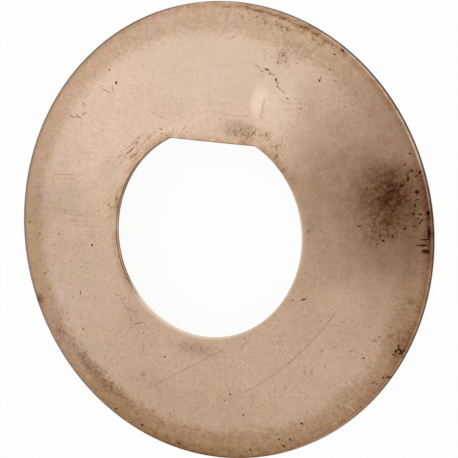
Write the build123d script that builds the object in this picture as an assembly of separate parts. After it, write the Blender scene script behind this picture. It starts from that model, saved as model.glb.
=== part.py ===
"""Domed thrust washer, pressed from thin bronze sheet and pierced with a D-shaped hole.

The washer lies on its outer rim with the crowned face up. +Z is its axis, the flat of the hole is on the
+Y side, and the origin is the middle of the circle that it rests on. Lengths are in millimetres.
"""
import math
import os

from build123d import *

# Driving dimensions
outer_diameter = 80.0
hole_diameter = 36.0
flat_depth = 2.0            # how far the flat stands into the full circle of the hole
flat_corner_radius = 1.5    # eases the two corners where the flat meets the round part of the hole
sheet_thickness = 1.0
crown_radius = 130.0        # spherical radius of the raised face
rim_round = 0.3             # rounding of both edges of the outer rim; those of the hole are punched square

# Sizes that follow from them
outer_radius = outer_diameter / 2
hole_radius = hole_diameter / 2
flat_distance = hole_radius - flat_depth
hollow_radius = crown_radius - sheet_thickness


def height_on_sphere(radius, distance):
    """Height above a sphere's centre of the point on it that is this far from the vertical axis."""
    return math.sqrt(radius**2 - distance**2)


# The rounding at the lower edge of the rim touches the floor, so its centre is one rounding above it.
rounding_centre = height_on_sphere(hollow_radius + rim_round, outer_radius - rim_round)
sphere_centre_z = rim_round - rounding_centre


def dome_section():
    """Half section of the dome before it is pierced: the shell between two concentric spheres, cut upright
    at the rim, with both corners of the rim rounded."""
    with BuildSketch(Plane.XZ) as section:
        with Locations((0, sphere_centre_z)):
            Circle(crown_radius)
            Circle(hollow_radius, mode=Mode.SUBTRACT)
        Rectangle(outer_radius, crown_radius, align=(Align.MIN, Align.CENTER), mode=Mode.INTERSECT)
        rim_corners = section.vertices().group_by(Axis.X)[-1]
        fillet(rim_corners, rim_round)
    return section.sketch


def hole_outline():
    """The D: a full circle with a flat across its +Y side, and the two corners of the flat eased."""
    with BuildSketch() as outline:
        Circle(hole_radius)
        with Locations((0, flat_distance)):
            Rectangle(hole_diameter, hole_diameter, align=(Align.CENTER, Align.MIN), mode=Mode.SUBTRACT)
        fillet(outline.vertices(), flat_corner_radius)
    return outline.sketch


def washer():
    """The dome, pierced upright along its axis."""
    with BuildPart() as body:
        add(dome_section())
        revolve(axis=Axis.Z)
        add(hole_outline())
        extrude(amount=crown_radius, both=True, mode=Mode.SUBTRACT)
    return body.part


os.makedirs("parts", exist_ok=True)
export_step(washer(), "parts/washer.step")
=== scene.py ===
"""A domed thrust washer of thin bronze sheet with a D-shaped hole, in a plain studio.

The file is laid out as an add-on and is run as a script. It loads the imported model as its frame, forms the
washer from a flat ring with Geometry Nodes, gives it its worn finish and sets the stage. Lengths are in
metres. +Z is the washer's axis, out of its crowned face, and the flat of its hole is on the +Y side.
"""

import math

import bpy
from bpy.props import FloatProperty, FloatVectorProperty, IntProperty, PointerProperty
from mathutils import Matrix, Vector


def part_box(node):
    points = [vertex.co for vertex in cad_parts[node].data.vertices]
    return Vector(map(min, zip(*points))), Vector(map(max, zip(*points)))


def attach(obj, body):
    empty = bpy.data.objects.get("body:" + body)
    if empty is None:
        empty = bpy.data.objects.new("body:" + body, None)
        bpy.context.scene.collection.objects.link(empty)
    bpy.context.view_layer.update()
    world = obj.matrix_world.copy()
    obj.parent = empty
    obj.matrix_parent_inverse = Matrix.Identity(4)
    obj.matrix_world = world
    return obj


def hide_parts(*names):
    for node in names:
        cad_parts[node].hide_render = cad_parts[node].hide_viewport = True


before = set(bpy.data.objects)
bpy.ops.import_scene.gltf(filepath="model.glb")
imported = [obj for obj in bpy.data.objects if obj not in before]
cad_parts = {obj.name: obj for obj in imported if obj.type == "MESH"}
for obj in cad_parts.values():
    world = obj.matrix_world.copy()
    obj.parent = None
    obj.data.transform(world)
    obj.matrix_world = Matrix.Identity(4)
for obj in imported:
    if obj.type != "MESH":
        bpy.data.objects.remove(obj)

bl_info = {
    "name": "Domed Thrust Washer",
    "version": (1, 0, 0),
    "blender": (4, 5, 0),
    "location": "3D View > Sidebar > Washer",
    "description": "Forms a domed bronze thrust washer with a D-shaped hole and sets a plain studio round it",
    "category": "Object",
}

MM = 0.001
NODE = "washer"
SOLID_LOW, SOLID_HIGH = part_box(NODE)
ROUNDING_STEPS = 5          # divisions of each rounded corner of the section
FROM_HOLE = "from_hole"     # attribute: distance from the wall of the hole, in millimetres
LEVEL = "level"             # attribute: 1 on the crowned face, -1 on the hollow one, between them on a wall


class Value:
    """A socket that formulas are written with: each operator adds its Math node."""

    def __init__(self, tree, socket):
        self.tree = tree
        self.socket = socket

    def __getitem__(self, name):
        """Another output of the same node."""
        return Value(self.tree, self.tree.find(self.socket.node.outputs, name))

    def math(self, operation, *others):
        return self.tree.add("ShaderNodeMath", {"operation": operation}, dict(enumerate((self,) + others)))

    def __add__(self, other):
        return self.math("ADD", other)

    def __sub__(self, other):
        return self.math("SUBTRACT", other)

    def __rsub__(self, other):
        return self.tree.add("ShaderNodeMath", {"operation": "SUBTRACT"}, {0: other, 1: self})

    def __mul__(self, other):
        return self.math("MULTIPLY", other)

    def __truediv__(self, other):
        return self.math("DIVIDE", other)

    def __pow__(self, power):
        return self.math("POWER", power)

    def __gt__(self, other):
        return self.math("GREATER_THAN", other)

    def __lt__(self, other):
        return self.math("LESS_THAN", other)

    def __abs__(self):
        return self.math("ABSOLUTE")

    __radd__ = __add__
    __rmul__ = __mul__

    def root(self):
        return self.math("SQRT")

    def most(self, other):
        return self.math("MAXIMUM", other)

    def least(self, other):
        return self.math("MINIMUM", other)

    def step(self, low, high):
        """0 at low and 1 at high, with a smooth slope between them."""
        return self.tree.add("ShaderNodeMapRange", {"interpolation_type": "SMOOTHSTEP"}, {
            "Value": self, "From Min": low, "From Max": high})


class Tree:
    """A node tree with one method that adds any node."""

    def __init__(self, tree):
        self.tree = tree

    @staticmethod
    def find(sockets, name):
        if isinstance(name, int):
            return sockets[name]
        return next(socket for socket in sockets if socket.enabled and socket.name == name)

    def add(self, kind, settings=None, values=None, output=0):
        """Adds a node, with its settings and then the values or links of its sockets. Gives one output."""
        node = self.tree.nodes.new(kind)
        for name, setting in (settings or {}).items():
            setattr(node, name, setting)
        for name, value in (values or {}).items():
            socket = self.find(node.inputs, name)
            if isinstance(value, Value):
                self.tree.links.new(value.socket, socket)
            else:
                socket.default_value = value
        if not len(node.outputs):
            return node
        if output == 0:
            return Value(self, next(socket for socket in node.outputs if socket.enabled))
        return Value(self, self.find(node.outputs, output))

    def vector(self, operation, first, second=None, **values):
        """A Vector Math node."""
        inputs = {0: first} if second is None else {0: first, 1: second}
        inputs.update(values)
        return self.add("ShaderNodeVectorMath", {"operation": operation}, inputs)

    def blend(self, factor, first, second, mode="MIX"):
        """A Mix node for colours: the first where the factor is 0, the second where it is 1."""
        settings = {"data_type": "RGBA", "blend_type": mode}
        return self.add("ShaderNodeMix", settings, {"Factor": factor, "A": first, "B": second})


def opaque(colour):
    """A colour with its alpha, as a socket takes it."""
    return (*colour, 1.0)


# Sizes and colours that a user would change

class SheetSizes(bpy.types.PropertyGroup):
    """Sizes of the washer."""
    outer_diameter: FloatProperty(
        name="Outer Diameter", description="Across the rim, from the packed solid",
        default=SOLID_HIGH.x - SOLID_LOW.x, unit="LENGTH", precision=4)
    hole_diameter: FloatProperty(
        name="Hole Diameter", description="Across the round part of the hole",
        default=36 * MM, unit="LENGTH", precision=4)
    flat_distance: FloatProperty(
        name="Flat Distance", description="From the axis to the flat of the hole",
        default=16 * MM, unit="LENGTH", precision=4)
    corner_radius: FloatProperty(
        name="Corner Radius", description="Easing where the flat meets the round part of the hole",
        default=1.5 * MM, unit="LENGTH", precision=4)
    thickness: FloatProperty(
        name="Sheet Thickness", description="Between the two faces",
        default=1.0 * MM, unit="LENGTH", precision=4)
    crown_radius: FloatProperty(
        name="Crown Radius", description="Radius of the sphere that the raised face lies on",
        default=130 * MM, unit="LENGTH", precision=4)
    rim_round: FloatProperty(
        name="Rim Rounding", description="Rounding of the edges of the outer rim",
        default=0.3 * MM, unit="LENGTH", precision=5)
    hole_round: FloatProperty(
        name="Hole Edge Rounding", description="Slight rounding that use has given the edges of the hole",
        default=0.12 * MM, unit="LENGTH", precision=5)
    steps_around: IntProperty(
        name="Steps Around", description="Divisions of the ring around its axis", default=600, min=24)
    steps_across: IntProperty(
        name="Steps Across", description="Divisions of each face from the hole to the rim", default=50, min=2)


class BronzeFinish(bpy.types.PropertyGroup):
    """Colours and gloss of the worn bronze."""
    metal: FloatVectorProperty(
        name="Metal", description="Clean rolled bronze", subtype="COLOR", size=3,
        default=(0.63, 0.46, 0.335), min=0, max=1)
    blush: FloatVectorProperty(
        name="Blush", description="Pinker clouds in the clean metal", subtype="COLOR", size=3,
        default=(0.63, 0.445, 0.355), min=0, max=1)
    straw: FloatVectorProperty(
        name="Straw", description="Yellower clouds in the clean metal", subtype="COLOR", size=3,
        default=(0.61, 0.447, 0.312), min=0, max=1)
    clear: FloatVectorProperty(
        name="Clear", description="Patches that lie free of any tarnish", subtype="COLOR", size=3,
        default=(0.78, 0.59, 0.46), min=0, max=1)
    # Also the colour of the painted highlights on the rim's upper edge and along the edge of the hole
    bright: FloatVectorProperty(
        name="Bright", description="Scratches and edges that were rubbed bright", subtype="COLOR", size=3,
        default=(0.88, 0.72, 0.60), min=0, max=1)
    roughness: FloatProperty(
        name="Roughness", description="Of the clean metal", default=0.3, min=0, max=1, subtype="FACTOR")


class StudioSettings(bpy.types.PropertyGroup):
    """Camera, lamps and floor."""
    lens: FloatProperty(
        name="Lens", description="Focal length of the camera in millimetres", default=223.86, min=10)
    target: FloatVectorProperty(
        name="Camera Target", description="Point that the camera looks at", subtype="TRANSLATION", size=3,
        default=(1.604 * MM, 0.583 * MM, 0.956 * MM), precision=6)
    distance: FloatProperty(
        name="Camera Distance", description="From the target to the camera",
        default=495.2 * MM, unit="LENGTH")
    azimuth: FloatProperty(
        name="Camera Azimuth", description="Turn of the camera around the washer's axis",
        default=math.radians(106.78), subtype="ANGLE")
    elevation: FloatProperty(
        name="Camera Elevation", description="Height of the camera as an angle above the floor",
        default=math.radians(62.39), subtype="ANGLE")
    roll: FloatProperty(
        name="Camera Roll", description="Turn of the camera about the line that it looks along",
        default=math.radians(-102.13), subtype="ANGLE")
    floor: FloatVectorProperty(
        name="Floor", description="Colour of the paper that the washer lies on", subtype="COLOR", size=3,
        default=(0.9, 0.9, 0.9), min=0, max=1)
    floor_size: FloatProperty(
        name="Floor Size", description="Side of the square sheet of paper", default=6.0, unit="LENGTH")
    room: FloatProperty(
        name="Room Light", description="Strength of the light from the room", default=0.9, min=0)
    room_colour: FloatVectorProperty(
        name="Room Colour", description="Colour of the light from the room", subtype="COLOR", size=3,
        default=(1.0, 0.975, 0.93), min=0, max=1)
    gap: FloatVectorProperty(
        name="Gap", description="Direction of the dark gap between the lights", subtype="XYZ", size=3,
        default=(0.10, 0.03, 1.0))
    gap_core: FloatProperty(
        name="Gap Core", description="Angle from the middle of the gap at which it is darkest",
        default=math.radians(8), subtype="ANGLE")
    gap_reach: FloatProperty(
        name="Gap Reach", description="Angle from the middle of the gap at which it ends",
        default=math.radians(24), subtype="ANGLE")
    gap_colour: FloatVectorProperty(
        name="Gap Colour", description="Colour of the gap where it is darkest", subtype="COLOR", size=3,
        default=(0.40, 0.305, 0.205), min=0, max=1)
    window: FloatProperty(
        name="Window Light", description="Power of the large soft light in watts", default=3.2, min=0)
    window_colour: FloatVectorProperty(
        name="Window Colour", description="Colour of the large soft light", subtype="COLOR", size=3,
        default=(0.88, 1.0, 1.06), min=0)
    window_place: FloatVectorProperty(
        name="Window Place", description="Middle of the large soft light", subtype="TRANSLATION", size=3,
        default=(-0.85, 0.54, 1.3))
    window_width: FloatProperty(
        name="Window Width", description="Of the large soft light", default=1.8, unit="LENGTH")
    window_height: FloatProperty(
        name="Window Height", description="Of the large soft light", default=1.4, unit="LENGTH")


# The washer

def sheet_tree():
    """Node tree that rolls a rounded section into a flat ring, cuts its hole to a D and presses it domed."""
    group = bpy.data.node_groups.new("form_washer", "GeometryNodeTree")
    group.is_modifier = True
    interface = group.interface
    interface.new_socket("Geometry", in_out="OUTPUT", socket_type="NodeSocketGeometry")
    for name in ("Outer Radius", "Hole Radius", "Flat Distance", "Corner Radius", "Thickness", "Crown Radius",
                 "Rim Round", "Hole Round"):
        interface.new_socket(name, in_out="INPUT", socket_type="NodeSocketFloat")
    for name in ("Steps Around", "Steps Across"):
        interface.new_socket(name, in_out="INPUT", socket_type="NodeSocketInt")
    interface.new_socket("Material", in_out="INPUT", socket_type="NodeSocketMaterial")
    tree = Tree(group)
    given = tree.add("NodeGroupInput")
    outer, hole, thickness = given["Outer Radius"], given["Hole Radius"], given["Thickness"]
    width = outer - hole

    # The section of the sheet, with its long sides divided and its corners rounded
    section = tree.add("GeometryNodeCurvePrimitiveQuadrilateral", {"mode": "RECTANGLE"},
                       {"Width": width, "Height": thickness})
    place = tree.add("ShaderNodeSeparateXYZ", None, {0: tree.add("GeometryNodeInputPosition")})
    starts_long_side = (place["X"] * place["Y"]) > 0
    section = tree.add("GeometryNodeSubdivideCurve", None,
                       {"Curve": section, "Cuts": (given["Steps Across"] - 1) * starts_long_side})
    at_corner = abs(place["X"]) > width * 0.4999    # only the corners lie at the ends of the section
    at_rim = place["X"] > 0
    rounding = at_corner * (at_rim * given["Rim Round"] + (1 - at_rim) * given["Hole Round"])
    section = tree.add("GeometryNodeFilletCurve", {"mode": "POLY"},
                       {"Curve": section, "Radius": rounding, "Count": ROUNDING_STEPS})

    # The flat ring
    circle = tree.add("GeometryNodeCurvePrimitiveCircle", {"mode": "RADIUS"},
                      {"Resolution": given["Steps Around"], "Radius": hole + width * 0.5})
    ring = tree.add("GeometryNodeCurveToMesh", None, {"Curve": circle, "Profile Curve": section})

    # The distance of the hole's edge from the axis, by the angle from the middle of the flat
    place = tree.add("ShaderNodeSeparateXYZ", None, {0: tree.add("GeometryNodeInputPosition")})
    x, y, height = place["X"], place["Y"], place["Z"]
    radius = (x * x + y * y).root()
    angle = abs(x).math("ARCTAN2", y)
    corner = given["Corner Radius"]
    corner_distance = hole - corner
    corner_y = given["Flat Distance"] - corner
    corner_x = (corner_distance * corner_distance - corner_y * corner_y).root()
    corner_angle = corner_x.math("ARCTAN2", corner_y)
    flat_end = corner_x.math("ARCTAN2", given["Flat Distance"])
    on_flat = given["Flat Distance"] / angle.math("COSINE").most(0.5)    # kept off 0 beyond the flat
    turn = angle - corner_angle
    across = corner_distance * turn.math("SINE")
    on_corner = corner_distance * turn.math("COSINE") + (corner * corner - across * across).most(0).root()
    in_flat = angle < flat_end
    in_round = angle > corner_angle
    edge = in_flat * on_flat + in_round * hole + (1 - in_flat - in_round) * on_corner

    # The hole is cut to that edge, and the rim stays as it is
    rim_line = outer - given["Rim Round"]
    hole_line = hole + given["Hole Round"]
    nearness = ((rim_line - radius) / (rim_line - hole_line)).most(0).least(1)
    cut_radius = radius + (edge - hole) * nearness

    # The material follows the edge of the hole and the depth in the sheet, so both are kept as attributes.
    # The ring's points still lie where they are flat, so the attributes are stored before the pressing.
    levels = {FROM_HOLE: (cut_radius - edge) / MM, LEVEL: height / thickness * 2}
    for name, level in levels.items():
        ring = tree.add("GeometryNodeStoreNamedAttribute", {"data_type": "FLOAT", "domain": "POINT"},
                        {"Geometry": ring, "Name": name, "Value": level})

    # The sheet is pressed to a dome: its two faces lie on spheres with one centre
    hollow = given["Crown Radius"] - thickness
    sphere = hollow + thickness * 0.5 + height
    rest = given["Rim Round"] - ((hollow + given["Rim Round"]) ** 2 - rim_line ** 2).root()
    dome_height = (rest + (sphere * sphere - cut_radius * cut_radius).root()).most(0)
    scale = cut_radius / radius
    position = tree.add("ShaderNodeCombineXYZ", None, {"X": x * scale, "Y": y * scale, "Z": dome_height})
    formed = tree.add("GeometryNodeSetPosition", None, {"Geometry": ring, "Position": position})
    formed = tree.add("GeometryNodeSetShadeSmooth", None, {"Geometry": formed})
    whole = tree.add("GeometryNodeRealizeInstances", None, {"Geometry": formed})
    finished = tree.add("GeometryNodeSetMaterial", None, {"Geometry": whole, "Material": given["Material"]})
    tree.add("NodeGroupOutput", None, {"Geometry": finished})
    return group


def run_tree(name, group, values):
    """A mesh object that a node tree makes, as a plain mesh with no modifier."""
    piece = bpy.data.objects.new(name, bpy.data.meshes.new(name))
    bpy.context.scene.collection.objects.link(piece)
    modifier = piece.modifiers.new("form", "NODES")
    modifier.node_group = group
    for item in group.interface.items_tree:
        if item.in_out == "INPUT":
            modifier[item.identifier] = values[item.name]
    view = bpy.context.evaluated_depsgraph_get()
    mesh = bpy.data.meshes.new_from_object(piece.evaluated_get(view), depsgraph=view)
    piece.modifiers.remove(modifier)
    piece.data = mesh
    mesh.name = name
    return piece


# Marks on the crowned face in millimetres: X, Y, length, width, and the angle of the length from +X

# Pits and specks filled with dirt
PITS = (
    (-20.8, 24.4, 0.55, 0.5, 0), (-22.7, 26.5, 0.4, 0.25, 90), (-23.2, -4.5, 0.5, 0.45, 0),
    (-25.8, -13.5, 0.8, 0.2, 92), (-27.6, -14.6, 0.3, 0.25, 0), (-25.4, -20.1, 0.5, 0.25, 15),
    (-38.3, -2.3, 0.4, 0.3, 0), (-19.0, -34.0, 0.6, 0.35, 30), (-7.6, -22.6, 0.4, 0.25, 10),
    (5.0, -27.7, 0.35, 0.35, 0), (7.3, -31.3, 0.5, 0.25, 90), (-6.1, -38.5, 0.8, 0.4, -20),
    (-13.5, -36.2, 0.4, 0.35, -20), (13.7, -34.9, 0.4, 0.3, 0), (16.8, -9.6, 0.35, 0.25, 0),
    (18.7, -9.3, 1.1, 0.22, 17), (29.2, -18.5, 0.4, 0.3, 0), (18.0, -31.5, 0.5, 0.4, -40),
    (35.0, -15.9, 0.6, 0.35, 100), (34.6, -16.8, 0.7, 0.4, 80), (34.2, -17.4, 0.5, 0.3, 20),
    (35.5, -16.9, 1.1, 0.4, 110), (35.2, -17.2, 0.8, 0.3, 20), (35.9, -16.6, 0.5, 0.3, 60),
    (35.1, -16.5, 0.7, 0.45, 150), (33.4, -21.5, 0.9, 0.4, 15), (32.4, -21.7, 0.5, 0.25, 70),
    (34.3, 15.0, 0.4, 0.3, 0), (35.1, 12.7, 1.0, 0.4, 95), (34.8, 13.4, 0.4, 0.3, 0),
    (35.6, 14.1, 0.45, 0.35, 0), (36.4, 13.3, 0.5, 0.35, 30), (36.9, 13.8, 0.8, 0.4, 65),
    (36.8, 10.6, 0.8, 0.5, 0), (36.9, 9.3, 0.6, 0.25, 10), (36.6, 8.3, 0.7, 0.25, 80),
    (37.6, 6.9, 0.7, 0.45, 0), (36.5, 6.9, 0.45, 0.4, 0), (38.9, 7.2, 0.6, 0.5, 0),
    (37.9, 5.9, 0.5, 0.35, 30), (37.3, 6.2, 0.4, 0.35, 0), (37.6, 5.4, 0.4, 0.35, 40),
    (35.3, 4.3, 0.5, 0.5, 0), (36.7, 4.8, 0.6, 0.25, 30), (31.3, 2.8, 0.6, 0.4, 0),
    (31.9, 2.0, 0.5, 0.4, 0), (33.3, 2.9, 0.6, 0.3, 80), (30.9, 1.3, 0.4, 0.3, 0),
    (27.8, 4.1, 0.7, 0.2, 25), (34.2, 11.4, 0.5, 0.4, 0), (34.6, 11.7, 0.3, 0.3, 0),
    (18.3, 27.9, 0.4, 0.25, 70), (19.8, 29.9, 0.4, 0.2, 0), (19.5, 34.0, 0.3, 0.3, 0),
    (20.2, 32.5, 0.4, 0.3, 0), (21.5, 33.2, 0.8, 0.4, -40), (15.7, 23.0, 0.25, 0.25, 0),
    (35.0, 16.9, 0.7, 0.2, -5), (15.8, -34.7, 0.7, 0.25, -25), (14.5, -36.1, 0.6, 0.3, -20),
    (38.7, 2.7, 1.6, 0.25, 5), (38.4, 1.7, 2.0, 0.35, 4), (38.9, 0.7, 1.4, 0.8, 0),
    (39.2, 3.8, 1.8, 0.4, 92), (8.8, 29.0, 0.7, 0.22, -20), (10.6, 27.5, 0.4, 0.25, -50),
    (8.1, -37.6, 0.4, 0.3, 0),
)

# Strokes and specks that look dark
STROKES = (
    (6.9, 29.5, 0.9, 0.18, -40), (7.8, 28.8, 0.8, 0.2, -30), (8.6, 29.1, 0.9, 0.35, -30),
    (9.3, 28.5, 0.6, 0.3, 60), (9.9, 28.3, 1.0, 0.28, -8), (10.6, 27.5, 0.7, 0.3, -60),
    (10.9, 27.0, 0.6, 0.3, -30), (11.0, 26.4, 0.6, 0.25, 90), (11.5, 26.0, 0.9, 0.2, -32),
    (12.3, 25.5, 0.8, 0.2, -25), (13.1, 24.5, 0.6, 0.35, -20), (11.2, 31.8, 0.9, 0.4, 70),
    (10.5, 30.4, 0.5, 0.3, 40), (11.9, 30.6, 0.5, 0.25, -20), (13.9, 30.5, 0.5, 0.2, 25),
    (-21.4, 23.3, 1.4, 0.15, -80), (-22.7, 22.8, 2.4, 0.16, -18), (-29.8, 17.6, 1.2, 0.25, -15),
    (-28.9, 17.8, 0.9, 0.25, 50), (-28.2, 17.7, 1.2, 0.25, -25), (-27.1, 18.4, 1.0, 0.2, 25),
    (-27.4, 20.1, 0.9, 0.28, -30), (19.1, 2.5, 1.1, 0.2, 58), (12.5, 14.8, 0.9, 0.25, 50),
    (6.9, 18.0, 0.8, 0.3, 70), (7.8, 18.3, 0.7, 0.2, 60), (10.1, 18.2, 0.8, 0.25, 75),
    (-18.3, 4.4, 0.6, 0.3, 10), (-31.0, -21.2, 0.6, 0.35, 0), (-17.4, -12.7, 1.0, 0.2, -20),
    (-16.6, -13.4, 1.0, 0.22, -25), (-15.9, -13.1, 0.8, 0.18, -30), (-16.2, -14.0, 0.6, 0.18, 20),
    (-15.2, -14.9, 0.9, 0.2, -60), (-13.2, -17.3, 1.3, 0.3, 10), (-12.3, -17.0, 0.8, 0.2, -20),
    (-14.6, -18.3, 0.6, 0.2, 60), (-12.0, -18.9, 0.4, 0.3, 0), (-10.2, 17.3, 0.9, 0.22, -25),
    (-5.6, 17.8, 0.7, 0.2, 40), (-10.0, 16.6, 0.4, 0.3, 0), (3.8, -29.1, 0.35, 0.3, 0),
    (-10.6, -33.1, 0.35, 0.3, 0), (-7.3, -33.1, 0.35, 0.25, 0), (8.1, -17.4, 0.6, 0.2, 100),
    (25.6, -27.9, 0.3, 0.3, 0), (27.2, -17.5, 0.3, 0.25, 0), (28.9, -17.9, 0.3, 0.2, 0),
    (30.5, -22.9, 0.6, 0.2, 10), (31.4, -23.0, 0.6, 0.2, -40), (31.0, -15.2, 0.9, 0.2, 60),
    (31.9, -14.5, 0.8, 0.18, 10), (37.9, -8.8, 0.4, 0.3, 0), (-35.6, -4.0, 0.7, 0.3, -30),
    (-34.2, -11.1, 1.0, 0.25, 5), (-18.4, 32.4, 0.35, 0.3, 0), (-18.4, 29.8, 0.35, 0.25, 0),
    (-21.0, 29.4, 0.35, 0.25, 0), (-15.6, 27.8, 0.3, 0.25, 0), (-31.0, -3.5, 0.4, 0.35, 0),
    (-28.0, 27.3, 0.6, 0.25, 45), (18.5, 28.4, 0.8, 0.15, 75), (21.1, 28.1, 0.3, 0.25, 0),
    (-19.9, 3.1, 0.6, 0.25, 30), (-19.3, 2.7, 0.6, 0.2, -30), (-22.0, 1.7, 0.4, 0.3, 0),
)

# Faint lines and smears
FAINT = (
    (8.9, 22.6, 3.6, 0.6, 85), (-13.6, -31.2, 2.6, 0.25, -72), (-9.1, -29.7, 2.4, 0.2, 90),
    (9.2, -28.2, 2.8, 0.2, 92), (22.0, 13.5, 1.4, 0.25, 3), (31.5, -15.1, 1.7, 0.3, 40),
    (34.3, -13.9, 3.8, 0.25, 25), (7.6, 32.2, 0.8, 0.35, 20), (9.2, 31.1, 0.6, 0.35, 0),
    (12.4, 29.8, 0.8, 0.3, 30), (-30.0, 7.3, 6.5, 0.25, 6), (-29.5, 6.6, 5.0, 0.2, 5),
    (4.0, 20.9, 9.0, 0.15, -1),
    (-14.7, -16.6, 3.4, 0.25, -76), (-10.6, -18.8, 3.0, 0.3, 28), (8.0, -18.5, 3.2, 0.3, 48),
    (-24.4, 23.6, 2.4, 0.2, -24), (18.9, -22.1, 1.1, 0.5, 90), (20.2, -21.9, 1.1, 0.4, 80),
    (-12.4, -26.5, 1.4, 0.9, 30), (-12.0, -21.2, 2.4, 0.3, 85), (-11.0, 19.6, 5.0, 0.2, -15),
    (31.2, 21.5, 3.0, 0.25, 100), (13.1, 17.6, 2.4, 0.3, 85), (24.2, -17.1, 0.9, 0.3, 20),
    (21.9, -18.0, 0.7, 0.3, 70), (12.8, 23.9, 2.8, 0.2, -12), (1.4, 34.0, 0.7, 0.35, 0),
    (-2.1, -26.6, 2.0, 0.25, 70), (12.6, -27.1, 2.4, 0.2, 95), (15.4, -25.4, 1.6, 0.3, 65),
)

# Lines that the rolling mill left, fainter still
ROLLED = (
    (-29.0, 1.1, 12.0, 0.35, 2), (-26.0, -0.6, 11.0, 0.3, 4), (-33.0, 0.5, 5.5, 0.3, 5),
    (-24.3, -1.1, 8.0, 0.3, 5), (-24.5, 0.6, 8.0, 0.3, 4), (-24.5, -2.9, 5.0, 0.35, 4),
)

# Long curved scratches: three points on each, then the width
ARCS = (
    (26.6, -7.0, 18.8, -18.1, 2.8, -29.6, 0.5), (5.5, -19.0, -3.2, -24.1, -12.5, -29.6, 0.4),
)

# Scratches down to bright metal
BRIGHT = (
    (26.8, -27.7, 2.3, 0.2, -30), (-10.2, -18.5, 3.0, 0.2, 28), (-7.0, -22.3, 0.7, 0.3, 50),
    (20.9, 12.6, 3.4, 0.16, 32),
)


# Soft patches, placed as the marks are, each with its strength first

# Duller areas of the bare metal, and a brighter one
DULL = (
    (0.09, -30.5, 3.0, 20.0, 12.0, 0), (0.07, -36.0, -1.0, 12.0, 18.0, 0), (0.08, -20.0, 9.0, 8.0, 9.0, 0),
    (0.08, -8.5, 20.5, 11.0, 6.0, 0), (0.08, -11.0, -27.0, 13.0, 8.0, 0), (0.07, 16.5, 23.5, 6.0, 9.0, 0),
    (-0.15, 25.0, -9.0, 12.0, 11.0, 0),
)

# Smears of brown film above the hole and down its right side
SMEARS = (
    (1.0, 7.5, 18.2, 3.6, 3.4, 0), (0.8, 9.8, 18.0, 5.0, 3.4, 0), (0.5, 5.6, 17.3, 8.0, 2.6, 0),
    (0.45, 12.0, 16.1, 4.0, 3.0, -50), (1.0, 12.5, 14.8, 2.2, 1.0, 50), (1.0, 14.1, 12.5, 1.8, 1.0, 55),
    (1.0, 15.8, 11.0, 2.0, 1.6, 0),
)

# Smudges of fine strokes round the hole and along the rim
SMUDGES = (
    (0.85, 4.6, 18.6, 9.0, 4.4, 0), (0.6, -1.5, -20.4, 13.0, 4.0, 0), (0.6, -18.2, 3.8, 1.5, 6.5, 0),
    (0.35, 13.0, 32.6, 11.0, 5.0, -20), (0.6, 11.0, 31.2, 4.0, 3.6, -30), (1.6, -35.6, -16.0, 3.5, 2.6, -60),
    (0.15, -14.4, -15.4, 7.0, 5.0, -60), (0.7, -30.9, -21.1, 4.0, 3.0, -50), (1.2, 37.3, 13.5, 2.2, 3.6, 15),
    (0.7, 35.7, 14.1, 2.4, 1.6, 30), (1.0, 39.2, 3.0, 3.2, 12.0, 0), (1.2, 38.9, 8.6, 3.0, 9.0, 5),
    (0.8, 35.6, -15.5, 5.0, 11.0, -24), (0.6, 36.9, -8.1, 1.8, 1.6, 0),
)

# The burnt oil at the right: its thin veil, its body, its darkest strokes and the haze round them
VEIL = (
    (1.0, 30.4, 9.9, 22.0, 23.0, 0), (0.7, 38.0, 7.0, 8.0, 26.0, 0), (0.75, 36.2, 9.0, 6.0, 14.0, 0),
    (0.4, 32.5, 3.6, 9.0, 7.0, 0),
)
BURNT = ((1.0, 32.0, 9.8, 15.0, 15.5, 30), (0.7, 32.7, 9.0, 7.5, 12.0, 0))
BLACK = (
    (1.0, 32.9, 11.4, 5.5, 3.2, 25), (1.0, 33.5, 9.5, 5.0, 2.8, 35), (1.0, 31.7, 8.4, 5.5, 2.8, 25),
    (0.8, 29.6, 8.1, 2.6, 1.6, 10), (0.8, 32.7, 13.3, 1.8, 2.4, 0),
)
HAZE = (
    (0.22, 31.6, 13.5, 9.0, 5.0, 10), (0.17, 33.2, 7.3, 5.0, 2.6, 10), (0.17, 29.0, 7.3, 3.5, 2.2, 35),
    (0.22, 33.6, 4.5, 3.4, 2.6, 0), (0.2, 37.4, 6.0, 4.2, 3.6, 0), (0.2, 36.2, 14.4, 4.4, 4.0, 15),
    (0.4, 34.0, -0.5, 18.0, 13.0, 0), (0.3, 36.3, 3.6, 6.0, 9.0, 0),
)

# How strongly dirt and film absorb red, green and blue light, for a thickness of 1. The painted shade that is
# laid in with the dirt takes the dirt's share
TAKEN_BY_DIRT = (0.67, 0.89, 1.02)
TAKEN_BY_FILM = (0.39, 0.56, 0.77)


def circle_through(first, middle, last):
    """Centre and radius of the circle through three points of a plane."""
    (x1, y1), (x2, y2), (x3, y3) = first, middle, last
    turn = 2 * ((x2 - x1) * (y3 - y1) - (x3 - x1) * (y2 - y1))
    second, third = (x2 - x1)**2 + (y2 - y1)**2, (x3 - x1)**2 + (y3 - y1)**2
    across = ((y3 - y1) * second - (y2 - y1) * third) / turn
    along = ((x2 - x1) * third - (x3 - x1) * second) / turn
    return (x1 + across, y1 + along), math.hypot(across, along)


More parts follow.
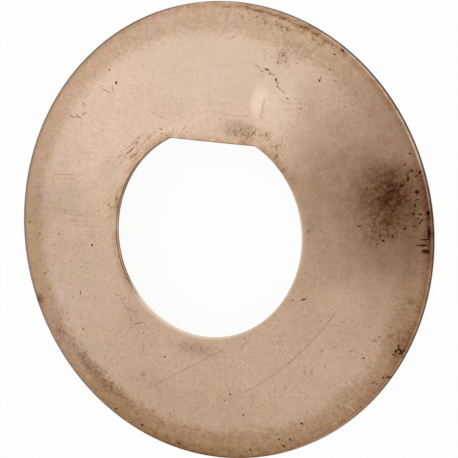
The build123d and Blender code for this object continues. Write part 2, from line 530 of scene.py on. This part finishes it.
class Surface(Tree):
    """The washer's surface: a material's tree with places in millimetres, and the patterns laid on it."""

    def __init__(self, tree):
        super().__init__(tree)
        place = self.add("ShaderNodeTexCoord", None, None, "Object")
        self.place = self.vector("SCALE", place, Scale=1 / MM)
        axis = self.add("ShaderNodeSeparateXYZ", None, {0: self.place})
        self.x, self.y = axis["X"], axis["Y"]
        self.radius = (self.x * self.x + self.y * self.y).root()
        self.flat = self.vector("MULTIPLY", self.place, (1, 1, 0))
        fray = self.add("ShaderNodeTexNoise", None, {
            "Vector": self.place, "Scale": 2.2, "Detail": 2.0}, "Color")
        fray = self.vector("SCALE", self.vector("SUBTRACT", fray, (0.5, 0.5, 0.5)), Scale=0.35)
        self.frayed = self.vector("ADD", self.flat, self.vector("MULTIPLY", fray, (1, 1, 0)))
        self.turned = {}    # the frayed places, turned by each angle that a spot has
        self.from_hole, self.level = self.attribute(FROM_HOLE), self.attribute(LEVEL)

        # Patterns that several layers share, from coarse to fine
        self.clouds = self.noise(9.0, 3.0, 0.55)
        self.patches = self.noise(2.2, 3.0, 0.6, 3.0)
        self.mottle = self.noise(0.9, 4.0, 0.7, 13.0).step(0.38, 0.62)
        self.grain = self.noise(0.6, 3.0, 0.75, 4.0)
        self.crumbs = self.noise(0.45, 3.0, 0.65, 12.0).step(0.4, 0.62)
        self.rolled = self.streaks(3, 10.0, 0.3, 5.0)
        self.scuffs = self.streaks(62, 1.6, 0.35, 16.0, 4.0).step(0.44, 0.62)

        # Parts of the washer that several layers share
        self.calm = 1 - 0.5 * self.spot(-3.0, 29.0, 60.0, 26.0)
        self.left = self.x.step(-6.0, -34.0)
        # The outermost strip of the rim at the left, which painted shade darkens
        self.left_rim_shade = self.left * self.radius.step(39.05, 39.5)
        # The lower right side, where the hole's edge faces the window light: there the edge gets a painted
        # highlight, elsewhere painted shade
        self.hole_lit_side = (0.9 * self.x - 1.2 * self.y).step(-2.0, 6.0)
        self.ragged = self.radius + 3.0 * (self.noise(3.5, 4.0, 0.6, 7.0) - 0.5) + 0.8 * (self.crumbs - 0.5)

    def attribute(self, name):
        return self.add("ShaderNodeAttribute", {"attribute_name": name}, None, "Fac")

    def noise(self, size, detail=2.0, roughness=0.5, seed=0.0, where=None):
        """Noise of about this grain in millimetres, around 0.5."""
        return self.add("ShaderNodeTexNoise", {"noise_dimensions": "4D"}, {
            "Vector": where or self.place, "Scale": 1 / size, "Detail": detail, "Roughness": roughness,
            "W": seed}, "Fac")

    def streaks(self, angle, length, width, seed, detail=2.0):
        """Noise that is drawn out along a direction."""
        along = self.add("ShaderNodeMapping", {"vector_type": "TEXTURE"}, {
            "Vector": self.flat, "Rotation": (0, 0, math.radians(angle)), "Scale": (length, width, 1.0)})
        return self.noise(1.0, detail, 0.55, seed, along)

    def from_spot(self, x, y, length, width, angle=0):
        """Distance from the middle of an oval spot: 1 at its edge."""
        if angle not in self.turned:
            self.turned[angle] = self.add("ShaderNodeVectorRotate", {"rotation_type": "Z_AXIS"}, {
                "Vector": self.frayed, "Angle": math.radians(-angle)})
        cosine, sine = math.cos(math.radians(angle)), math.sin(math.radians(angle))
        across, along = 2 / length, 2 / width
        middle = (-(x * cosine + y * sine) * across, -(y * cosine - x * sine) * along, 0)
        inside = self.add("ShaderNodeVectorMath", {"operation": "MULTIPLY_ADD"}, {
            0: self.turned[angle], 1: (across, along, 0), 2: middle})
        return self.add("ShaderNodeVectorMath", {"operation": "LENGTH"}, {0: inside}, "Value")

    def spot(self, x, y, length, width, angle=0):
        """1 in the middle of a soft oval spot and 0 outside it."""
        return self.from_spot(x, y, length, width, angle).step(1.0, 0.1)

    def soft_spots(self, places):
        """The sum of soft spots, each with its own strength."""
        spots = [strength * self.spot(*place) for strength, *place in places]
        return sum(spots[1:], spots[0])

    def marks(self, places):
        """1 inside any of the marks and 0 outside them."""
        nearest = None
        for mark in places:
            distance = self.from_spot(*mark)
            nearest = distance if nearest is None else nearest.least(distance)
        return nearest.step(1.3, 0.5)

    def arc(self, x1, y1, x2, y2, x3, y3, width):
        """A curved scratch that thins out to both ends."""
        (centre_x, centre_y), radius = circle_through((x1, y1), (x2, y2), (x3, y3))
        off = abs(self.from_spot(centre_x, centre_y, 2, 2) - radius) / (width / 2)
        span = math.hypot(x3 - x1, y3 - y1)
        end = self.from_spot((x1 + x3) / 2, (y1 + y3) / 2, span, span)
        return off.step(1.0, 0.2) * end.step(1.0, 0.6)

    def specks(self, spacing, size, share, seed):
        """Small round specks of uneven size, in a share of the cells of a net with this spacing."""
        cells = self.add("ShaderNodeTexVoronoi", {"voronoi_dimensions": "4D"}, {
            "Vector": self.place, "Scale": 1 / spacing, "W": seed}, "Distance")
        chance = self.add("ShaderNodeSeparateXYZ", None, {0: cells["Color"]})["X"]
        reach = chance.step(1 - share, 1.0) * (size / 2 / spacing)
        return (reach - cells).step(0.0, 0.15 * size / spacing)


def bare_metal(tree, finish):
    """Colour of the rolled bronze, and how far each channel of it is dimmed."""
    # Pinker and yellower clouds, fine grain and the lines that the rolling mill left
    patches = tree.patches
    base = tree.blend(tree.clouds.step(0.3, 0.7), opaque(finish.straw), opaque(finish.blush))
    base = tree.blend(patches.step(0.3, 0.7) * 0.5, base, opaque(finish.metal))
    shade = 1 + 0.12 * (tree.clouds - 0.5) + (0.25 * (patches - 0.5) + 0.45 * (tree.grain - 0.5)) * tree.calm
    shade = shade + 0.16 * (tree.rolled - 0.5) - tree.soft_spots(DULL)
    # Painted shade darkens the outermost strip of the rim at the left
    shade = shade * (1 - 0.4 * tree.left_rim_shade)

    # It is paler above, and cooler at the left and in two small areas below
    pale = tree.spot(-2.0, 30.0, 64.0, 34.0)
    cool = tree.spot(-28.0, -16.0, 24.0, 40.0, -30).most(0.5 * tree.spot(-29.0, 5.0, 26.0, 48.0))
    cool = cool + 0.8 * tree.spot(-25.0, -25.2, 15.0, 10.0, -45) + 0.3 * tree.spot(24.0, -16.0, 10.0, 9.0)

    # A clear column above the hole with a sharp left edge, and a fainter clear patch on its right
    clear = (0.62 * tree.spot(11.4, 21.5, 12.0, 18.0, -10)).most(0.95 * tree.spot(8.3, 23.6, 6.0, 9.5, -4))
    base = tree.blend(clear * tree.x.step(6.2, 6.9), base, opaque(finish.clear))
    return base, (shade - 0.06 * pale + 0.02 * cool, shade - 0.03 * pale + 0.05 * cool, shade + 0.13 * cool)


def brown_film(tree):
    """Thickness of the brown film."""
    x, y, radius, from_hole = tree.x, tree.y, tree.radius, tree.from_hole
    patches, mottle, crumbs = tree.patches, tree.mottle, tree.crumbs

    # Along the rim it is strong below, thin above, and worn off at the right
    below = (0.35 * x - y).step(-8.0, 18.0)
    lower_right = (x - y).step(33.0, 58.0)
    worn_off = tree.spot(36.0, 10.0, 36.0, 52.0)
    reach = tree.ragged - 0.9 * lower_right + 0.7 * tree.spot(4.0, 36.0, 44.0, 14.0, -8)
    film = reach.step(33.8, 36.8) * (0.5 + 0.45 * below) * (1 - 0.28 * lower_right) * (1 - 0.8 * worn_off)
    film = film * (0.6 + 0.38 * mottle + 0.3 * crumbs)
    film = film * (1 - 0.25 * tree.spot(-27.0, -26.0, 18.0, 14.0, -45))

    # It is thicker in the outermost strip, less so at the left
    strip = (radius + 0.6 * (patches - 0.5) - 0.02 * y.least(0)).step(38.3, 39.5) * (1 - 0.45 * lower_right)
    strip = strip * (1 - 0.8 * tree.left.most(0.5 * (x - y).step(-25.0, -45.0)))
    film += strip * (0.32 + 0.3 * mottle + 0.25 * crumbs)
    # Under the painted shade at the rim's left edge the film is thinned, so that the shade stays grey
    film = film * (1 - 0.7 * tree.left_rim_shade) + 0.42 * radius.step(39.1, 39.5) * (x - y).step(8.0, 36.0)

    # A line of rust inside the rim at the top, with crumbs on its inner side
    rust = abs(radius + 0.8 * (patches - 0.5) - 39.15).step(0.4, 0.1) * (0.35 + 0.65 * mottle)
    rust = rust.most(0.9 * abs(tree.ragged - 38.2).step(1.1, 0.2) * crumbs * mottle)
    film += rust * tree.spot(9.0, 37.5, 34.0, 9.0, -17) * (0.25 + 0.95 * crumbs) * 1.7

    # Brown smears round the hole, beside the stain and across the lower part
    film += tree.soft_spots(SMEARS) * (0.1 + 1.1 * crumbs * mottle + 1.5 * tree.scuffs * crumbs)
    film += from_hole.step(1.6, 0.3) * tree.spot(12.4, 13.6, 14.0, 9.0, -45) * (0.05 + 0.5 * crumbs)
    film += 0.5 * tree.spot(29.5, 1.6, 7.0, 4.0, 12) * (0.4 + 0.7 * mottle)
    film += 0.3 * tree.spot(20.5, 12.0, 18.0, 12.0, 30) + 0.16 * tree.spot(-4.0, -32.0, 48.0, 15.0)
    film += 0.45 * tree.spot(-19.4, 3.0, 4.5, 9.5) * crumbs

    # It is thin all over the lower right, along the upper left edge of the hole, in flecks and in hairlines
    film += (0.5 * x - y).step(-10.0, 45.0) * 0.08
    film += from_hole.step(1.8, 0.1) * patches.step(0.3, 0.6) * 0.7 * (1 - tree.hole_lit_side)
    flecks = (tree.noise(0.4, 2.0, 0.6, 15.0) + 0.3 * (patches - 0.5)).step(0.58, 0.7)
    hairlines = tree.streaks(38, 7.0, 0.13, 21.0).step(0.64, 0.72)
    hairlines = hairlines.most(tree.streaks(-52, 5.0, 0.12, 22.0).step(0.65, 0.73))
    hairlines = hairlines.most(tree.streaks(82, 6.0, 0.12, 23.0).step(0.65, 0.73))
    return film + flecks * 0.55 * tree.calm + hairlines * 0.3


def rubbed_in_dirt(tree):
    """Thickness of the dirt that was rubbed into the crowned face."""
    # At the lower left it lies at the inner edge of the film
    mottle, crumbs = tree.mottle, tree.crumbs
    dirt = abs(tree.ragged - 36.0).step(2.2, 0.3) * tree.spot(-22.6, -28.2, 23.0, 12.0, -39)
    dirt = dirt * (0.1 + 0.3 * mottle + 0.45 * crumbs)
    dirt += tree.soft_spots(SMUDGES) * (0.1 + 0.25 * mottle + 0.35 * crumbs + 0.4 * tree.scuffs)

    # Fine lines beside the upper left and the lower left of the hole, and a dark edge of the rim at the right
    lines = tree.streaks(40, 2.5, 0.28, 17.0, 4.0).step(0.46, 0.62)
    dirt += tree.spot(-14.9, 13.6, 12.5, 4.6, 40) * lines * (0.65 + 1.1 * crumbs)
    strands = tree.streaks(-32, 1.6, 0.3, 18.0, 4.0).step(0.48, 0.64)
    dirt += 0.14 * tree.spot(-12.2, -17.8, 16.0, 6.0, -42) * strands
    return dirt + 0.6 * tree.radius.step(38.9, 39.4) * tree.spot(39.5, 6.0, 10.0, 18.0)


def burnt_oil(tree):
    """Thickness of the burnt oil, patchy where it is thin, in strokes that rise to the right."""
    mottle, crumbs = tree.mottle, tree.crumbs
    swirl = tree.streaks(30, 1.7, 0.65, 11.0, 5.0).step(0.34, 0.66)
    oil = tree.soft_spots(VEIL) * (0.22 + 0.4 * mottle) + tree.soft_spots(HAZE)
    oil += tree.soft_spots(BURNT) * (0.34 + 0.65 * swirl + 0.58 * crumbs)
    oil += tree.spot(31.9, 4.2, 13.0, 8.0, 10) * (0.15 + crumbs * (0.25 + 0.8 * mottle))
    return oil + tree.soft_spots(BLACK) * (0.2 + 0.55 * swirl)


def bronze(finish):
    """Rolled and pressed bronze, dulled and stained by use, with painted highlights and painted shade at the
    rim and round the hole.
    """
    material = bpy.data.materials.new("worn_bronze")
    material.use_nodes = True
    material.node_tree.nodes.clear()
    tree = Surface(material.node_tree)
    x, y, radius, level, from_hole = tree.x, tree.y, tree.radius, tree.level, tree.from_hole
    patches, crumbs, hole_lit_side = tree.patches, tree.crumbs, tree.hole_lit_side
    base, dimmed = bare_metal(tree, finish)
    film = brown_film(tree)

    # Dirt on the crowned face, with its marks, and with specks round the stain and at the lower right
    crowned = level.step(-0.2, 0.2)
    pits = tree.marks(PITS)
    strokes = (0.95 * tree.marks(STROKES)).most(0.3 * tree.marks(FAINT)).most(0.12 * tree.marks(ROLLED))
    for curve in ARCS:
        strokes = strokes.most((0.12 + 0.16 * patches.step(0.35, 0.6)) * tree.arc(*curve))
    speckled = tree.spot(36.0, 8.0, 10.0, 26.0) + 1.1 * tree.spot(33.0, -20.5, 8.0, 16.0, -33)
    dirt = rubbed_in_dirt(tree) + burnt_oil(tree) + 2.6 * pits + strokes
    dirt = (dirt + 2.2 * tree.specks(1.0, 0.6, 0.5, 33.0) * speckled) * crowned

    # Small specks on both faces, darker towards the rim
    near_rim = radius.step(34.0, 39.0)
    dirt += 0.6 * tree.specks(1.5, 0.45, 0.3, 31.0)
    dirt += tree.specks(0.7, 0.3, 0.35, 32.0) * (0.22 + 0.85 * near_rim)

    # The rim's edge is darkened with painted shade, except at the right. At the right its upper edge gets a
    # painted highlight, and only its wall is darkened with painted shade
    right = (x + 0.3 * y).step(-10.0, 12.0)
    on_top = level.step(0.6, 0.8)
    # A painted highlight, broken up by noise, on the rim's upper edge at the right
    rubbed = radius.step(39.65, 39.75) * on_top * patches.step(0.33, 0.58) * right
    rubbed = rubbed * (0.25 + 0.75 * y.step(4.0, 17.0))
    rubbed = rubbed * (1 - 0.5 * tree.spot(6.0, 39.0, 36.0, 14.0, -15)) * (0.6 + 0.5 * crumbs)
    # Painted shade on the rim's wall at the right, and on the rim's edge round the rest
    rim_wall_shade = right * (1.6 + y.step(12.0, 30.0) + 0.8 * y.step(-8.0, -20.0))
    dirt += radius.step(39.66, 39.76) * (1 - right) * 1.2 + radius.step(39.8, 39.9) * (1 - on_top) * rim_wall_shade

    # Painted shade on the hole's edges and wall away from the window light: its edges are dark at the left,
    # and its wall is dark to the top at the upper left
    wall = (level.step(0.05, -0.3) + 0.8 * y.step(-2.0, 8.0) * level.step(0.8, 0.5)) * (1 - hole_lit_side)
    dirt += from_hole.step(0.2, 0.05) * (wall + level.step(0.55, 0.85) * (1 - 0.75 * hole_lit_side))

    # Film and dirt, and the painted shade laid in with the dirt, take more of the blue light than of the red
    channels = zip("XYZ", dimmed, TAKEN_BY_DIRT, TAKEN_BY_FILM)
    left_over = {axis: share * (-by_dirt * dirt - by_film * film).math("EXPONENT")
                 for axis, share, by_dirt, by_film in channels}
    base = tree.blend(1.0, base, tree.add("ShaderNodeCombineXYZ", None, left_over), "MULTIPLY")

    # The edge and wall of the hole get a painted highlight on the lower right, which faces the window light,
    # and a fainter one beside the hole at the right. Scratches are bright, and the rim's upper edge at the
    # right gets a painted highlight
    bright = (0.3 * tree.marks(BRIGHT)).most(0.55 * rubbed)
    hole_highlight = from_hole.step(0.6, 0.15) * (0.45 - 0.22 * x.step(5.0, 14.0))
    hole_highlight = hole_highlight + 0.45 * from_hole.step(0.1, 0.03) * level.step(0.7, 0.4)
    hole_highlight = hole_lit_side * hole_highlight + 0.2 * from_hole.step(1.1, 0.5) * tree.spot(18.6, 1.0, 6.0, 22.0)
    base = tree.blend((crowned * bright).most(hole_highlight), base, opaque(finish.bright))

    roughness = finish.roughness + 0.06 * film + 0.05 * dirt.least(3) + 0.15 * (patches - 0.5)
    height = 0.35 * tree.rolled + 0.35 * tree.grain + 0.4 * patches
    height = height - 0.5 * crowned * strokes - 0.8 * crowned * pits
    bump = tree.add("ShaderNodeBump", None, {"Height": height, "Strength": 0.4, "Distance": 0.02 * MM})
    surface = tree.add("ShaderNodeBsdfPrincipled", None, {
        "Base Color": base, "Metallic": 1.0, "Roughness": roughness, "Normal": bump})
    tree.add("ShaderNodeOutputMaterial", None, {"Surface": surface})
    return material


class FormWasher(bpy.types.Operator):
    """Form the washer and give it its worn bronze finish"""
    bl_idname = "thrust_washer.form_washer"
    bl_label = "Form Washer"

    def execute(self, context):
        sizes = context.scene.washer_sizes
        values = {
            "Outer Radius": sizes.outer_diameter / 2, "Hole Radius": sizes.hole_diameter / 2,
            "Flat Distance": sizes.flat_distance, "Corner Radius": sizes.corner_radius,
            "Thickness": sizes.thickness, "Crown Radius": sizes.crown_radius,
            "Rim Round": sizes.rim_round, "Hole Round": sizes.hole_round,
            "Steps Around": sizes.steps_around, "Steps Across": sizes.steps_across,
            "Material": bronze(context.scene.washer_finish),
        }
        piece = run_tree("worn_washer", sheet_tree(), values)
        if not piece.data.polygons:
            raise RuntimeError("the washer's node tree gave no faces")
        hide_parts(NODE)
        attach(piece, "root")
        return {"FINISHED"}


# The stage

PLAIN_WHITE = 0.94    # share of plain white in the paper that the camera sees; the rest is lit and shaded


def paper(colour):
    """Pale paper that shows white to the camera and in reflections, and keeps the washer's shadow."""
    material = bpy.data.materials.new("white_paper")
    material.use_nodes = True
    material.node_tree.nodes.clear()
    tree = Tree(material.node_tree)
    path = tree.add("ShaderNodeLightPath")
    seen = path["Is Camera Ray"].most(path["Is Glossy Ray"]).most(path["Is Transmission Ray"])
    lit = tree.add("ShaderNodeBsdfDiffuse", None, {"Color": opaque(colour)})
    white = tree.add("ShaderNodeEmission", None, {"Color": (1.0, 1.0, 1.0, 1.0), "Strength": 1.0})
    mixed = tree.add("ShaderNodeMixShader", None, {"Fac": seen * PLAIN_WHITE, 1: lit, 2: white})
    tree.add("ShaderNodeOutputMaterial", None, {"Surface": mixed})
    return material


def lay_floor(studio):
    """The square sheet of paper that the washer lies on."""
    half = studio.floor_size / 2
    corners = [(-half, -half, 0), (half, -half, 0), (half, half, 0), (-half, half, 0)]
    mesh = bpy.data.meshes.new("paper_floor")
    mesh.from_pydata(corners, [], [(0, 1, 2, 3)])
    mesh.materials.append(paper(studio.floor))
    floor = bpy.data.objects.new("paper_floor", mesh)
    bpy.context.scene.collection.objects.link(floor)
    return floor


def light_room(studio):
    """The pale room, with a dark gap between its lights that the metal reflects."""
    world = bpy.data.worlds.new("room")
    world.use_nodes = True
    world.node_tree.nodes.clear()
    tree = Tree(world.node_tree)
    direction = tree.add("ShaderNodeTexCoord", None, None, "Generated")
    nearness = tree.add("ShaderNodeVectorMath", {"operation": "DOT_PRODUCT"}, {
        0: direction, 1: Vector(studio.gap).normalized()}, "Value")
    in_gap = nearness.step(math.cos(studio.gap_reach), math.cos(studio.gap_core))
    light = tree.blend(in_gap, opaque(studio.room_colour), opaque(studio.gap_colour))
    room = tree.add("ShaderNodeBackground", None, {"Color": light, "Strength": studio.room})
    tree.add("ShaderNodeOutputWorld", None, {"Surface": room})
    bpy.context.scene.world = world


def hang_window(studio):
    """The large soft light, which faces the washer."""
    lamp = bpy.data.lights.new("window", "AREA")
    lamp.shape = "RECTANGLE"
    lamp.size = studio.window_width
    lamp.size_y = studio.window_height
    lamp.energy = studio.window
    lamp.color = studio.window_colour
    window = bpy.data.objects.new("window", lamp)
    bpy.context.scene.collection.objects.link(window)
    window.location = studio.window_place
    window.rotation_euler = Vector(studio.window_place).to_track_quat("Z", "Y").to_euler()


def place_camera(studio):
    """The camera, turned about its line of sight as the photographer held it."""
    camera = bpy.data.cameras.new("camera")
    camera.lens = studio.lens
    camera.sensor_width = 36
    camera.clip_start = 0.01
    carrier = bpy.data.objects.new("camera", camera)
    bpy.context.scene.collection.objects.link(carrier)
    level = math.cos(studio.elevation)
    back = Vector((math.sin(studio.azimuth) * level, -math.cos(studio.azimuth) * level,
                   math.sin(studio.elevation)))
    turn = back.to_track_quat("Z", "Y").to_matrix() @ Matrix.Rotation(studio.roll, 3, "Z")
    place = Vector(studio.target) + back * studio.distance
    carrier.matrix_world = Matrix.Translation(place) @ turn.to_4x4()
    bpy.context.scene.camera = carrier


class SetStage(bpy.types.Operator):
    """Lay the paper, hang the lamps and place the camera"""
    bl_idname = "thrust_washer.set_stage"
    bl_label = "Set Stage"

    def execute(self, context):
        studio = context.scene.washer_studio
        floor = lay_floor(studio)
        light_room(studio)
        hang_window(studio)
        place_camera(studio)
        context.scene.view_settings.view_transform = "Standard"
        return {"FINISHED"}


class WasherPanel(bpy.types.Panel):
    """Lists the washer's sizes, finish and stage"""
    bl_idname = "VIEW3D_PT_thrust_washer"
    bl_label = "Thrust Washer"
    bl_space_type = "VIEW_3D"
    bl_region_type = "UI"
    bl_category = "Washer"

    def draw(self, context):
        groups = (("washer_sizes", None), ("washer_finish", FormWasher), ("washer_studio", SetStage))
        for group, operator in groups:
            box = self.layout.box()
            settings = getattr(context.scene, group)
            for name in settings.bl_rna.properties.keys():
                if name not in ("rna_type", "name"):
                    box.prop(settings, name)
            if operator:
                box.operator(operator.bl_idname)


CLASSES = (SheetSizes, BronzeFinish, StudioSettings, FormWasher, SetStage, WasherPanel)


def register():
    for item in CLASSES:
        bpy.utils.register_class(item)
    bpy.types.Scene.washer_sizes = PointerProperty(type=SheetSizes)
    bpy.types.Scene.washer_finish = PointerProperty(type=BronzeFinish)
    bpy.types.Scene.washer_studio = PointerProperty(type=StudioSettings)


def unregister():
    del bpy.types.Scene.washer_sizes
    del bpy.types.Scene.washer_finish
    del bpy.types.Scene.washer_studio
    for item in reversed(CLASSES):
        bpy.utils.unregister_class(item)


def main():
    register()
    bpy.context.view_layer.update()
    bpy.ops.thrust_washer.form_washer()
    bpy.ops.thrust_washer.set_stage()


if __name__ == "__main__":
    main()
